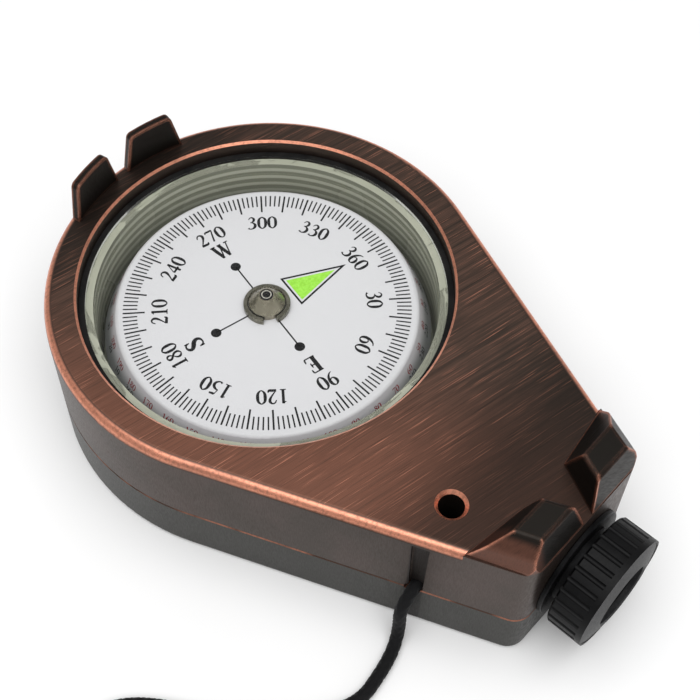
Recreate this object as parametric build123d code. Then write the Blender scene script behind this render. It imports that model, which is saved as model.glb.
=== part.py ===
from build123d import *
import math
import os

# Sighting compass in a teardrop case.  Millimetres, +Z up, +Y towards the front sight.
# The origin is the point of the base face that lies on the dial's pivot axis.

# case
case_radius = 33.0          # round end of the case
tail_y = -58.3              # flat end of the tail
tail_half = 11.477          # half width where the sides meet the flat end
taper = math.degrees(       # each side's angle to the long axis
    math.asin(case_radius / math.hypot(tail_half, tail_y)) - math.atan2(tail_half, -tail_y))
case_top = 24.0             # upper face
seam_z = 9.7                # joint between the two shells
seam_gap = 0.2              # thickness of the gasket in the joint
tail_corner = 3.0
top_round = 1.4
base_round = 0.9
seam_bevel = 0.15
seam_inset = 0.45           # gasket edge back from the outside

# sights
post_height = 6.6
post_inset = 0.65           # back from the case's outside
post_thick = 1.45
post_outer = case_radius - post_inset
post_inner = post_outer - post_thick
post_foot_from = 2.2        # degrees from the long axis
post_foot_to = 20.5
post_head_from = 4.6
post_head_to = 17.9
boss_height = 5.6
boss_foot = ((15.0, tail_y + 9.0), (4.6, tail_y + 7.5), (0.8, tail_y), (11.4, tail_y))
boss_head = ((10.55, tail_y + 5.1), (4.2, tail_y + 5.1), (2.6, tail_y + 1.4), (9.1, tail_y + 1.4))
boss_waist = 0.55           # share of the height where the boss is fullest
boss_bulge = (0.95, 0.0, 0.0, 0.75)
boss_round = 2.5
boss_crown = 0.6
tail_square_y = tail_y + 8.8        # the tail's edges are square beyond this line

# window and liquid capsule
case_rim = 5.85             # from the case's outside to the capsule
gasket_seat = 0.95          # room for the window gasket round the crystal
capsule_radius = case_radius - case_rim
window_radius = capsule_radius + gasket_seat
capsule_play = 0.3
capsule_wall = 1.2
capsule_floor_z = 7.0
flange_width = 1.85
flange_thick = 1.7
flange_drop = 0.5           # the flange reaches this far under the case's joint
flange_radius = capsule_radius + flange_width
flange_low = seam_z - flange_drop
flange_high = flange_low + flange_thick
flange_play = 0.2
window_depth = 2.4
crystal_thick = 0.7
ledge_deep = 2.2
crystal_high = case_top - window_depth
crystal_low = crystal_high - crystal_thick
ledge_z = crystal_low - ledge_deep
ledge_step = 0.5
window_step_z = crystal_high - 0.4
gasket_high = crystal_high - 0.1
cushion_thick = 1.4
pocket_floor = 2.4          # inside floor of the lower shell
diaphragm_radius = 12.0
diaphragm_low = 5.8
plug_in = 9.15
plug_at = capsule_radius - plug_in
plug_radius = 1.5
lubber_middle = 15.0
lubber_height = 7.0

# dial card
dial_depth = 3.85           # below the crystal's face
dial_sheet = 0.5
dial_play = 0.75            # between the skirt and the capsule's wall
skirt_deep = 4.55
skirt_slant = 2.0           # the skirt widens by this much on the way down
shoulder_width = 0.6
shoulder_drop = 0.35
dial_z = crystal_high - dial_depth
skirt_radius = capsule_radius - capsule_wall - dial_play
shoulder_radius = skirt_radius - skirt_slant
dial_flat = shoulder_radius - shoulder_width
shoulder_z = dial_z - shoulder_drop
skirt_z = dial_z - skirt_deep
magnet_inner = 3.4
magnet_outer = 9.0
magnet_thick = 1.9

# hub and pivot
hub_neck = 1.6
hub_base = 2.77
hub_base_z = dial_z + 1.05
hub_crown = 1.2
hub_top = dial_z + 2.85
hub_dimple = 0.75
jewel_radius = 1.0
jewel_low = dial_z + 0.1
jewel_high = dial_z + 1.5
jewel_cone = 0.55
jewel_apex = dial_z + 0.85
pivot_radius = 0.6
pivot_tip = jewel_apex - 0.06
pivot_base_radius = 4.0
pivot_base_thick = 1.2
clip_inner = hub_base + 0.08
clip_outer = 3.57
clip_low = dial_z
clip_high = dial_z + 0.95
clip_gap = 36.0             # degrees
clip_gap_at = -127.0        # direction of the gap, degrees from +X

# eyepiece
eye_drop = 5.6              # optical axis below the dial's face
tube_radius = 6.6
tube_play = 0.05
tube_gap = 2.25             # from the capsule to the tube's front end
trough_reach = 5.4          # the tube's trough runs on into the capsule's well
collar_width = 2.0
collar_thick = 0.75
nose_step = 0.6
nose_long = 5.05
tube_wall = 1.4
lens_seat = 0.7
eye_z = dial_z - eye_drop
tube_front = -capsule_radius - tube_gap
trough_front = tube_front + trough_reach
collar_radius = tube_radius + collar_width
nose_radius = tube_radius - nose_step
nose_end = tail_y - nose_long
bore_radius = tube_radius - tube_wall
shoulder_bore = bore_radius - lens_seat
field_y = tube_front - 1.0
knob_over = 2.26            # knob's radius beyond the tube's
knob_gap = 1.9              # from the case to the knob
knob_long = 5.55
knob_plate = 0.85
knob_play = 0.08
knob_lip = 0.33             # the knob's hole is this much smaller than the tube's bore
knob_radius = tube_radius + knob_over
knob_front = tail_y - knob_gap      # face towards the case
knob_back = knob_front - knob_long  # face towards the eye
knob_bore = nose_radius + knob_play
knob_hole = bore_radius - knob_lip
face_bulge = 0.55           # the hole's rim stands out from the knob's edge
knob_flutes = 30
flute_radius = 0.42
focus_in = 0.62              # travel of the lens barrel each way from rest
focus_out = 1.62
barrel_play = 0.06
barrel_wall = 0.94
barrel_radius = bore_radius - barrel_play
barrel_bore = barrel_radius - barrel_wall
barrel_length = 13.9        # behind the knob's plate
barrel_front = knob_back + knob_plate + barrel_length
key_width = 1.2
key_sink = 0.8              # key's top below the tube's outside
key_top = tube_radius - key_sink
key_long = 3.0
key_to = barrel_front - 1.0
key_from = key_to - key_long
key_slack = 0.7             # spare slot beyond the focus travel
seal_groove = 0.9
seal_y = nose_end + 1.3

# fasteners
screw_shaft = 0.95
screw_head = 1.95
screw_tip = 15.5
front_screw_in = 1.9
front_screw_radius = case_radius - front_screw_in
front_screw_angle = 45.0
tail_screw_y = tail_y + 22.3
tail_screw_in = 7.26        # screw's distance in from the side wall

# lanyard
hole_in = 6.984             # hole's distance in from the side wall at the cord's exit
hole_ahead = 0.65           # hole's distance ahead of the cord's groove
hole_radius = 1.815
hole_rim = 0.5
pocket_radius = 2.35        # wider pocket under the hole for the stopper knot
pocket_top = seam_z + 1.5
hole_floor = seam_z - 3.1
cord_radius = 0.95
cord_play = 0.2
groove_y = tail_y + 13.95    # shallow groove in the side wall above the cord's exit
groove_low = 2.0
groove_high = 2.5
groove_deep = 0.9
knot_radius = 2.1
knot_height = 3.4
cord_z = cord_radius + 0.02
coil_at = (-63.7, -45.8)
coil_radius = 11.0          # middle of the turns
coil_wide = 7.8
coil_high = 5.8
tie_at = -70.0
end_knot_radius = 1.7       # stopper knot of the cord's far end, tucked inside the coil
end_knot_at = 20.0          # its direction from the coil's middle



def side_wall(y):
    a = math.radians(taper)
    return (case_radius + y * math.sin(a)) / math.cos(a)


tail_screw = (side_wall(tail_screw_y) - tail_screw_in, tail_screw_y)
hole_at = (hole_in - side_wall(groove_y), groove_y + hole_ahead)
hole_x, hole_y = hole_at

# hand-laid route of the cord from the stopper knot to the coil
cord_route = [
    (hole_x - 1.5, hole_y - 0.05, seam_z),
    (hole_x - 9.7, hole_y - 0.3, seam_z),
    (hole_x - 10.3, hole_y - 1.1, cord_z),
    (hole_x - 14.9, hole_y - 2.9, cord_z),
    (hole_x - 23.7, hole_y - 3.9, cord_z),
    (-45.0, -37.0, cord_z),
    (-56.5, -19.0, cord_z),
    (-71.0, -26.5, cord_z),
    (-74.4, -43.0, cord_z),
]


def teardrop(inset=0.0, z=0.0, corner=0.0):
    r = case_radius - inset
    a = math.radians(taper)
    end = tail_y + inset
    side = (r + end * math.sin(a)) / math.cos(a)
    right = (r * math.cos(a), -r * math.sin(a))
    left = (-right[0], right[1])
    arc = ThreePointArc(right, (0, r), left)
    edges = [arc, Line(left, (-side, end)), Line((-side, end), (side, end)), Line((side, end), right)]
    face = make_face(edges)
    if corner > 0:
        tail = face.vertices().sort_by(Axis.Y)[0:2]
        face = fillet(tail, corner)
    return Pos(0, 0, z) * face


def slab(face, height):
    return extrude(face, amount=height)


def rod(radius, low, high, x=0.0, y=0.0):
    return Pos(x, y, (low + high) / 2) * Cylinder(radius, high - low)


def ring(inner, outer, low, high):
    return rod(outer, low, high) - rod(inner, low - 1, high + 1)


def rod_y(radius, y0, y1, x=0.0, z=eye_z):
    return Pos(x, (y0 + y1) / 2, z) * Rot(90, 0, 0) * Cylinder(radius, abs(y1 - y0))


def turned(points, axis=Axis.Z):
    plane = Plane.XZ if axis == Axis.Z else Plane.XY
    return revolve(plane * make_face(Polyline(*points, close=True)), axis)


def one(shape):
    solids = shape.solids()
    return solids[0] if len(solids) == 1 else Compound(children=solids)


def screw_places():
    a = math.radians(front_screw_angle)
    x = front_screw_radius * math.cos(a)
    y = front_screw_radius * math.sin(a)
    return [(x, y), (-x, y), tail_screw, (-tail_screw[0], tail_screw[1])]


def post(side):
    middle = math.radians((post_foot_from + post_foot_to) / 2)
    reach = (post_inner + post_outer) / 2
    foot = reach * math.tan(math.radians((post_foot_to - post_foot_from) / 2))
    head = reach * math.tan(math.radians((post_head_to - post_head_from) / 2))
    low = case_top - 1.2
    high = case_top + post_height
    spread = foot + (foot - head) * 1.2 / post_height
    outline = make_face(Polyline((-spread, low), (spread, low), (head, high), (-head, high), close=True))
    outline = fillet(outline.vertices().sort_by(Axis.Y)[2:4], 0.9)
    wedge = extrude(Plane.XZ * outline, amount=-40)
    wedge = Rot(0, 0, -math.degrees(middle) * side) * wedge
    arc = ring(post_inner, post_outer, low, high + 1)
    solid = wedge & arc
    crown = [e for e in solid.edges() if e.center().Z > case_top + 0.6]
    return fillet(crown, 0.22)


def boss(side):
    foot_z = case_top - 0.4
    waist_z = case_top + boss_height * boss_waist
    head_z = case_top + boss_height
    waist = []
    for (fx, fy), (hx, hy), bulge in zip(boss_foot, boss_head, boss_bulge):
        waist.append((hx + (fx - hx) * (1 - boss_waist) + bulge, hy + (fy - hy) * (1 - boss_waist)))
    sections = []
    for points, z in ((boss_foot, foot_z), (waist, waist_z), (boss_head, head_z)):
        sections.append(make_face(Polyline(*[(side * x, y, z) for x, y in points], close=True)))
    solid = loft(sections, ruled=True)
    solid = solid & slab(teardrop(z=case_top - 1, corner=tail_corner), boss_height + 2)
    outer = [e for e in solid.edges() if abs(e.center().Z - waist_z) < 0.02 and abs(e.center().X) > 11.5]
    solid = fillet(outer, boss_round)
    crown = [e for e in solid.edges() if e.center().Z > head_z - 0.1]
    return fillet(crown, boss_crown)


def eyepiece_trough(radius, low):
    trough = rod_y(radius, trough_front, tail_y - 1)
    slot = Pos(0, (tail_y - 1 + trough_front) / 2, (low + eye_z) / 2)
    return trough + slot * Box(2 * radius, trough_front - tail_y + 1, abs(eye_z - low))


def cord_channel():
    start = Vector(hole_x, hole_y, seam_z)
    end = Vector(hole_x - 9.2, hole_y - 0.28, seam_z)
    along = end - start
    mid = (start + end) * 0.5
    return Plane(origin=mid, z_dir=along) * Cylinder(cord_radius + cord_play, along.length)


def cord_groove(low):
    slope = math.radians(taper)
    wall_x = -side_wall(groove_y)
    outward = Vector(-math.cos(slope), -math.sin(slope), 0)
    wall = Plane(origin=(wall_x, groove_y, 0), x_dir=(-math.sin(slope), math.cos(slope), 0), z_dir=outward)
    high = case_top - top_round - 0.3
    upright = wall.to_local_coords(Vector(wall_x, groove_y, 1)).Y
    outline = Polyline(
        (-groove_low / 2, (low - 1) * upright), (groove_low / 2, (low - 1) * upright),
        (groove_high / 2, high * upright), (-groove_high / 2, high * upright), close=True)
    return extrude(wall * make_face(outline), amount=groove_deep, both=True)


def top_shell():
    low = seam_z + seam_gap / 2
    body = slab(teardrop(z=low, corner=tail_corner), case_top - low)
    rim = [e for e in body.edges() if abs(e.center().Z - case_top) < 1e-6]
    body = fillet(rim, top_round)
    foot = [e for e in body.edges() if abs(e.center().Z - low) < 1e-6]
    body = chamfer(foot, seam_bevel)
    tail = Pos(0, tail_square_y - 15, case_top - 1) * Box(60, 30, 6)
    tail = tail & slab(teardrop(z=case_top - top_round - 0.4, corner=tail_corner), top_round + 0.4)
    body = body + tail
    for side in (1, -1):
        body = body + boss(side)
        body = body + post(side)
    body = body - rod(window_radius, window_step_z, case_top + 8)
    body = body - rod(capsule_radius + capsule_play, low - 1, window_step_z + 1)
    body = body - rod(flange_radius + flange_play, low - 1, flange_high)
    mouth = [e for e in body.edges().filter_by(GeomType.CIRCLE)
             if abs(e.radius - window_radius) < 1e-4 and abs(e.center().Z - case_top) < 1e-4]
    body = chamfer(mouth, 0.35)
    body = body - eyepiece_trough(tube_radius + tube_play, low - 1)
    body = body - rod(hole_radius, low - 1, case_top + 1, *hole_at)
    body = body - rod(pocket_radius, low - 1, pocket_top, *hole_at)
    body = body - Pos(hole_at[0], hole_at[1], case_top - hole_rim / 2) * Cone(
        hole_radius, hole_radius + hole_rim, hole_rim)
    body = body - cord_channel()
    body = body - cord_groove(low)
    for x, y in screw_places():
        body = body - rod(screw_shaft + 0.02, low - 1, screw_tip + 0.6, x, y)
    return one(body)


def bottom_shell():
    high = seam_z - seam_gap / 2
    body = slab(teardrop(corner=tail_corner), high)
    rim = [e for e in body.edges() if abs(e.center().Z) < 1e-6]
    body = fillet(rim, base_round)
    head = [e for e in body.edges() if abs(e.center().Z - high) < 1e-6]
    body = chamfer(head, seam_bevel)
    body = body - rod(capsule_radius + capsule_play, pocket_floor, high + 1)
    body = body - rod(flange_radius + flange_play, flange_low - cushion_thick, high + 1)
    body = body - rod_y(tube_radius + tube_play, trough_front, tail_y - 1)
    body = body - rod(pocket_radius, hole_floor, high + 1, *hole_at)
    body = body - cord_channel()
    for x, y in screw_places():
        body = body - rod(screw_shaft + 0.2, -1, high + 1, x, y)
        body = body - rod(screw_head + 0.1, -1, 0.35, x, y)
        drop = screw_head - screw_shaft
        body = body - Pos(x, y, 0.35 + drop / 2) * Cone(screw_head + 0.1, screw_shaft + 0.1, drop)
    return one(body)


def case_seal():
    low = seam_z - seam_gap / 2
    sheet = slab(teardrop(inset=seam_inset, z=low, corner=tail_corner), seam_gap)
    sheet = sheet - rod(flange_radius + flange_play, low - 1, low + 2)
    sheet = sheet - Pos(0, (trough_front + tail_y - 1) / 2, seam_z) * Box(
        2 * (tube_radius + tube_play), trough_front - tail_y + 1, 4)
    sheet = sheet - rod(pocket_radius, low - 1, low + 2, *hole_at)
    sheet = sheet - cord_channel()
    for x, y in screw_places():
        sheet = sheet - rod(screw_shaft + 0.2, low - 1, low + 2, x, y)
    return sheet


def case_screws():
    screws = []
    for x, y in screw_places():
        drop = screw_head - screw_shaft
        screw = rod(screw_shaft, 0.3, screw_tip, x, y)
        screw = screw + rod(screw_head, 0.05, 0.3, x, y)
        screw = screw + Pos(x, y, 0.3 + drop / 2) * Cone(screw_head, screw_shaft, drop)
        screw = screw - Pos(x, y, 0.3) * Box(1.9, 0.45, 0.6)
        screw = screw - Pos(x, y, 0.3) * Box(0.45, 1.9, 0.6)
        screws.append(one(screw))
    return Compound(children=screws)


def capsule_cup():
    floor_top = capsule_floor_z + capsule_wall
    inner = capsule_radius - capsule_wall
    cup = rod(capsule_radius, capsule_floor_z, crystal_low)
    cup = cup - rod(inner, floor_top, crystal_low + 1)
    cup = cup - rod(inner + ledge_step, ledge_z, crystal_low + 1)
    cup = cup + ring(capsule_radius - 0.3, flange_radius, flange_low, flange_high)
    cup = cup - rod(plug_radius, capsule_floor_z - 1, floor_top + 1, plug_at, 0)
    for k in range(3):
        a = math.radians(120 * k + 30)
        cup = cup - rod(0.8, capsule_floor_z - 1, floor_top + 1, 8 * math.cos(a), 8 * math.sin(a))
    return one(cup)


def crystal():
    disc = rod(capsule_radius, crystal_low, crystal_high)
    rim = [e for e in disc.edges() if abs(e.center().Z - crystal_high) < 1e-6]
    return chamfer(rim, 0.12)


def capsule_ring():
    inner = capsule_radius - capsule_wall
    return ring(inner + 0.05, inner + ledge_step, ledge_z, crystal_low)


def window_gasket():
    return ring(capsule_radius + 0.03, window_radius - 0.03, window_step_z, gasket_high)


def capsule_cushion():
    low = flange_low - cushion_thick
    return ring(capsule_radius + capsule_play + 0.05, flange_radius, low, flange_low)


def expansion_diaphragm():
    rim_low = diaphragm_low
    dish = rod(diaphragm_radius, rim_low, capsule_floor_z)
    dish = dish - rod(diaphragm_radius - 1.2, rim_low + 0.45, capsule_floor_z + 1)
    fold = Pos(0, 0, rim_low + 0.45) * Torus(6.0, 0.3)
    return one(dish + fold)


def fill_plug():
    plug = rod(plug_radius, capsule_floor_z, capsule_floor_z + capsule_wall, plug_at, 0)
    head = rod(plug_radius + 0.8, capsule_floor_z - 0.7, capsule_floor_z, plug_at, 0)
    return one(plug + head - Pos(plug_at, 0, capsule_floor_z - 0.7) * Box(3.0, 0.5, 0.7))


def lubber_line():
    wall = -(capsule_radius - capsule_wall)
    return Pos(0, wall + 0.12, lubber_middle) * Box(0.3, 0.24, lubber_height)


def pivot_base():
    low = capsule_floor_z + capsule_wall
    foot = rod(pivot_base_radius, low, low + pivot_base_thick)
    hub = Pos(0, 0, low + pivot_base_thick + 0.5) * Cone(1.8, 1.1, 1.0)
    return one(foot + hub - rod(pivot_radius, low + 0.3, low + 6))


def pivot_pin():
    low = capsule_floor_z + capsule_wall + 0.3
    neck = pivot_tip - 1.5
    return turned([(0, low), (pivot_radius, low), (pivot_radius, neck - 1.0), (0.35, neck), (0, pivot_tip)])


def jewel_cup():
    low = dial_z - dial_sheet - 1.2
    body = turned([
        (0, low), (hub_neck, low), (hub_neck, dial_z), (hub_base - 0.1, dial_z),
        (hub_base, hub_base_z), (hub_crown + 0.25, hub_top - 0.25), (hub_crown, hub_top),
        (hub_dimple, hub_top), (hub_dimple - 0.1, hub_top - 0.35), (0, hub_top - 0.35),
    ])
    body = body - rod(jewel_radius, low - 1, jewel_high)
    return one(body)


def jewel():
    stone = rod(jewel_radius, jewel_low, jewel_high)
    cup = turned([(0, jewel_low - 0.1), (jewel_cone, jewel_low - 0.1), (jewel_cone, jewel_low), (0, jewel_apex)])
    return one(stone - cup)


def hub_nut():
    low = dial_z - dial_sheet - 1.0
    nut = rod(3.0, low, dial_z - dial_sheet) - rod(hub_neck, low - 1, dial_z)
    return one(nut)


def balance_clip():
    clip = ring(clip_inner, clip_outer, clip_low, clip_high)
    half = math.radians(clip_gap / 2)
    reach = 6.0
    mouth = make_face(Polyline((0, 0), (reach, reach * math.tan(half)), (reach, -reach * math.tan(half)), close=True))
    clip = clip - Pos(0, 0, clip_low - 1) * Rot(0, 0, clip_gap_at) * extrude(mouth, amount=4)
    top = [e for e in clip.edges() if abs(e.center().Z - clip_high) < 1e-6]
    return one(chamfer(top, 0.12))


def dial_card():
    s = dial_sheet
    top = [
        Line((hub_neck + 0.05, dial_z), (dial_flat, dial_z)),
        TangentArc((dial_flat, dial_z), (shoulder_radius, shoulder_z), tangent=(1, 0)),
        Line((shoulder_radius, shoulder_z), (skirt_radius, skirt_z)),
        Line((skirt_radius, skirt_z), (skirt_radius - s, skirt_z)),
        Line((skirt_radius - s, skirt_z), (shoulder_radius - s, shoulder_z - 0.3)),
        Line((shoulder_radius - s, shoulder_z - 0.3), (dial_flat - 0.2, dial_z - s)),
        Line((dial_flat - 0.2, dial_z - s), (hub_neck + 0.05, dial_z - s)),
        Line((hub_neck + 0.05, dial_z - s), (hub_neck + 0.05, dial_z)),
    ]
    return one(revolve(Plane.XZ * make_face(top), Axis.Z))


def card_magnet():
    high = dial_z - dial_sheet
    magnet = ring(magnet_inner, magnet_outer, high - magnet_thick, high)
    return one(chamfer(magnet.edges(), 0.15))


def lens_tube():
    tube = rod_y(tube_radius, tube_front, tail_y)
    tube = tube + rod_y(collar_radius, tail_y, tail_y - collar_thick)
    tube = tube + rod_y(nose_radius, tail_y - collar_thick, nose_end)
    tube = tube - rod_y(shoulder_bore, tube_front + 1, nose_end - 1)
    tube = tube - rod_y(bore_radius, tube_front + 1, tube_front - 3.5)
    tube = tube - rod_y(bore_radius, tube_front - 5.0, nose_end - 1)
    slot_front = key_to + focus_in + key_slack
    slot_back = key_from - focus_out - key_slack
    tube = tube - Pos(0, (slot_front + slot_back) / 2, eye_z + bore_radius) * Box(
        key_width + 0.06, slot_front - slot_back, 1.4)
    around = rod_y(nose_radius + 1, seal_y + seal_groove / 2, seal_y - seal_groove / 2)
    tube = tube - (around - rod_y(nose_radius - 0.5, seal_y + 1, seal_y - 1))
    rim = [e for e in tube.edges().filter_by(GeomType.CIRCLE) if abs(e.radius - collar_radius) < 1e-4]
    return one(chamfer(rim, 0.12))


def tube_nut():
    nut = rod_y(bore_radius, tube_front - 0.1, field_y) - rod_y(bore_radius - 1.1, tube_front + 1, field_y - 1)
    return one(nut - Pos(0, tube_front - 0.1, eye_z) * Box(2 * bore_radius + 0.2, 0.8, 0.8))


def lens(radius, y_middle, edge, sag):
    r = (radius * radius + sag * sag) / (2 * sag)
    body = rod_y(radius, y_middle - edge / 2 - sag - 1, y_middle + edge / 2 + sag + 1)
    front = Pos(0, y_middle + edge / 2 + sag - r, eye_z) * Sphere(r)
    back = Pos(0, y_middle - edge / 2 - sag + r, eye_z) * Sphere(r)
    return one(body & front & back)


def field_lens():
    seat = tube_front - 3.5
    return lens(bore_radius - 0.02, (field_y + seat) / 2, field_y - seat - 1.0, 0.5)


def light_mask():
    y = tube_front - 5.0
    mask = rod_y(bore_radius, y, y - 0.6) - rod_y(2.2, y + 1, y - 2)
    return one(mask)


def nose_seal():
    section = Pos(nose_radius - 0.22, 0, 0) * Circle(0.26)
    return Pos(0, seal_y, eye_z) * Rot(90, 0, 0) * revolve(Plane.XZ * section, Axis.Z)


def lens_barrel():
    plate = knob_back + knob_plate
    barrel = rod_y(barrel_radius, barrel_front, plate + 0.05)
    barrel = barrel + rod_y(nose_radius - 0.15, plate + 0.75, plate + 0.05)
    barrel = barrel - rod_y(barrel_bore, barrel_front + 1, plate - 1)
    barrel = barrel - rod_y(barrel_radius - 0.3, plate + 2.75, plate - 1)
    barrel = barrel - Pos(0, (key_from + key_to) / 2, eye_z + barrel_radius) * Box(
        key_width, key_to - key_from, 1.4)
    return one(barrel)


def eye_lens():
    plate = knob_back + knob_plate
    return lens(barrel_radius - 0.32, plate + 1.75, 0.9, 0.5)


def lens_retainer():
    plate = knob_back + knob_plate
    nut = rod_y(barrel_radius - 0.3, plate + 0.75, plate + 0.05) - rod_y(barrel_bore - 0.05, plate + 2, plate - 1)
    return one(nut - Pos(0, plate + 0.05, eye_z) * Box(2 * barrel_radius, 0.6, 0.7))


def guide_key():
    low = barrel_radius - 0.7
    return Pos(0, (key_from + key_to) / 2, eye_z + (low + key_top) / 2) * Box(
        key_width, key_to - key_from, key_top - low)


def eyepiece_knob():
    knob = rod_y(knob_radius, knob_front, knob_back)
    rim = knob.edges().filter_by(GeomType.CIRCLE)
    front = [e for e in rim if abs(e.center().Y - knob_front) < 1e-6]
    knob = chamfer(front, 0.3)
    knob = knob - rod_y(knob_bore, knob_front + 1, knob_back + knob_plate)
    knob = knob - rod_y(knob_hole, knob_front, knob_back - 1)
    knob = knob - rod_y(knob_radius - 0.35, knob_back + 0.35, knob_back - 1)
    for k in range(knob_flutes):
        a = 2 * math.pi * k / knob_flutes
        x = (knob_radius + 0.12) * math.cos(a)
        z = eye_z + (knob_radius + 0.12) * math.sin(a)
        knob = knob - rod_y(flute_radius, knob_front + 0.5, knob_back + 0.9, x, z)
    return one(knob)


def knob_face():
    rim = knob_radius - 0.35
    face = turned([
        (knob_hole, knob_back + 0.35), (rim, knob_back + 0.35), (rim, knob_back + 0.1),
        (knob_hole + 0.3, knob_back - face_bulge), (knob_hole, knob_back - face_bulge + 0.2),
    ], Axis.Y)
    return one(Pos(0, 0, eye_z) * face)


def lanyard_knot():
    low = hole_floor + 0.05
    ball = Pos(hole_at[0], hole_at[1], low + knot_height / 2)
    lump = rod(knot_radius, low, low + knot_height, *hole_at)
    lump = fillet(lump.edges().filter_by(GeomType.CIRCLE), 1.2)
    grooves = ball * Rot(35, 20, 0) * Torus(knot_radius + 0.12, 0.3)
    return one(lump - grooves)


def turn_radii(points):
    radii = []
    for i in range(1, len(points) - 1):
        a = Vector(*points[i]) - Vector(*points[i - 1])
        b = Vector(*points[i + 1]) - Vector(*points[i])
        turn = math.radians(a.get_angle(b))
        radii.append(0.45 * min(a.length, b.length) / math.tan(turn / 2))
    return radii


def lanyard_cord():
    radii = turn_radii(cord_route)
    print("cord bend radii", [round(r, 1) for r in radii])
    path = FilletPolyline(*cord_route, radius=radii)
    start = Plane(origin=path @ 0, z_dir=path % 0)
    cord = sweep(start * Circle(cord_radius), path)
    print("cord length", round(path.length, 1), "volume share",
          round(cord.volume / (path.length * math.pi * cord_radius ** 2), 3))
    return one(cord)


def lanyard_coil():
    section = RectangleRounded(coil_wide, coil_high, 2.4)
    loop = revolve(Plane.XZ * Pos(coil_radius, coil_high / 2) * section, Axis.Z)
    return Pos(coil_at[0], coil_at[1], 0.02) * loop


def lanyard_end():
    reach = coil_radius - coil_wide / 2 - end_knot_radius + 0.2
    a = math.radians(end_knot_at)
    x = coil_at[0] + reach * math.cos(a)
    y = coil_at[1] + reach * math.sin(a)
    lump = rod(end_knot_radius, 0.02, knot_height, x, y)
    lump = fillet(lump.edges().filter_by(GeomType.CIRCLE), 1.2)
    grooves = Pos(x, y, knot_height / 2) * Rot(30, 25, 0) * Torus(end_knot_radius + 0.12, 0.3)
    return one(lump - grooves)


def lanyard_tie():
    outer = RectangleRounded(coil_wide + 1.6, coil_high + 1.6, 2.9)
    inner = RectangleRounded(coil_wide + 0.04, coil_high + 0.04, 2.42)
    band = Plane.XZ * Pos(coil_radius, coil_high / 2 + 0.02) * (outer - inner)
    band = revolve(band, Axis.Z, revolution_arc=20)
    band = band - Pos(0, 0, -5) * Box(60, 60, 10)
    return one(Pos(coil_at[0], coil_at[1], 0) * Rot(0, 0, tie_at) * band)


nodes = {
    "top_shell": top_shell,
    "bottom_shell": bottom_shell,
    "case_seal": case_seal,
    "case_screws": case_screws,
    "window_gasket": window_gasket,
    "crystal": crystal,
    "capsule_cup": capsule_cup,
    "capsule_ring": capsule_ring,
    "capsule_cushion": capsule_cushion,
    "expansion_diaphragm": expansion_diaphragm,
    "fill_plug": fill_plug,
    "lubber_line": lubber_line,
    "pivot_base": pivot_base,
    "pivot_pin": pivot_pin,
    "dial_card": dial_card,
    "card_magnet": card_magnet,
    "jewel_cup": jewel_cup,
    "jewel": jewel,
    "hub_nut": hub_nut,
    "balance_clip": balance_clip,
    "lens_tube": lens_tube,
    "tube_nut": tube_nut,
    "field_lens": field_lens,
    "light_mask": light_mask,
    "nose_seal": nose_seal,
    "lens_barrel": lens_barrel,
    "eye_lens": eye_lens,
    "lens_retainer": lens_retainer,
    "guide_key": guide_key,
    "eyepiece_knob": eyepiece_knob,
    "knob_face": knob_face,
    "lanyard_knot": lanyard_knot,
    "lanyard_cord": lanyard_cord,
    "lanyard_coil": lanyard_coil,
    "lanyard_tie": lanyard_tie,
    "lanyard_end": lanyard_end,
}

os.makedirs("parts", exist_ok=True)
for name, make in nodes.items():
    part = make()
    solids = part.solids()
    export_step(part, f"parts/{name}.step")
    print(name, len(solids), "solid(s)", round(sum(s.volume for s in solids), 1), "mm3")
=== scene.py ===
import math
import bpy
from mathutils import Matrix, Vector


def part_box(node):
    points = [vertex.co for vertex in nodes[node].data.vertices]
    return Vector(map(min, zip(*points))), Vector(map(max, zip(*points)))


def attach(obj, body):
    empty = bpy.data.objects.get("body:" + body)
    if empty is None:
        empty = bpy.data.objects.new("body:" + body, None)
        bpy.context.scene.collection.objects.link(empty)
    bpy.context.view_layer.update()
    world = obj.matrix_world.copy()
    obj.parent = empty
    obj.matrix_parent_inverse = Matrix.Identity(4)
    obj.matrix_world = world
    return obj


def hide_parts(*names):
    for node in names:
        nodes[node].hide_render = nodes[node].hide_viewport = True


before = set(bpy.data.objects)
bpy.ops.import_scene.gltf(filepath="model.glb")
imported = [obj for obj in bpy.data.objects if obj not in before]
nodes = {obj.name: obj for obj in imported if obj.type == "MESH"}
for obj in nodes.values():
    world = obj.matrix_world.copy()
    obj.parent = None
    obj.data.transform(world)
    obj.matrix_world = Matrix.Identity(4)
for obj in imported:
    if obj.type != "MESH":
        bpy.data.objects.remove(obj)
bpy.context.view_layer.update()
scene = bpy.context.scene
scene.view_settings.view_transform = "Standard"
mm = 0.001
print("frame loaded,", len(nodes), "parts")


# camera
cameraSet = {
    "place": (-0.083519, -0.086608, 0.182274),
    "heading": 45.574,          # degrees from +Y towards +X
    "down": 54.708,
    "roll": -1.745,
    "lens": 68.9,
    "shift": (0.0858, -0.0348),
}


def makeCamera(look):
    data = bpy.data.cameras.new("camera")
    data.sensor_width = 36
    data.lens = look["lens"]
    data.shift_x, data.shift_y = look["shift"]
    data.clip_start = 0.01
    camera = bpy.data.objects.new("camera", data)
    turn = Matrix.Rotation(math.radians(-look["heading"]), 4, "Z")
    tip = Matrix.Rotation(math.radians(90 - look["down"]), 4, "X")
    roll = Matrix.Rotation(math.radians(look["roll"]), 4, "Z")
    camera.matrix_world = Matrix.Translation(look["place"]) @ turn @ tip @ roll
    scene.collection.objects.link(camera)
    scene.camera = camera


makeCamera(cameraSet)


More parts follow.
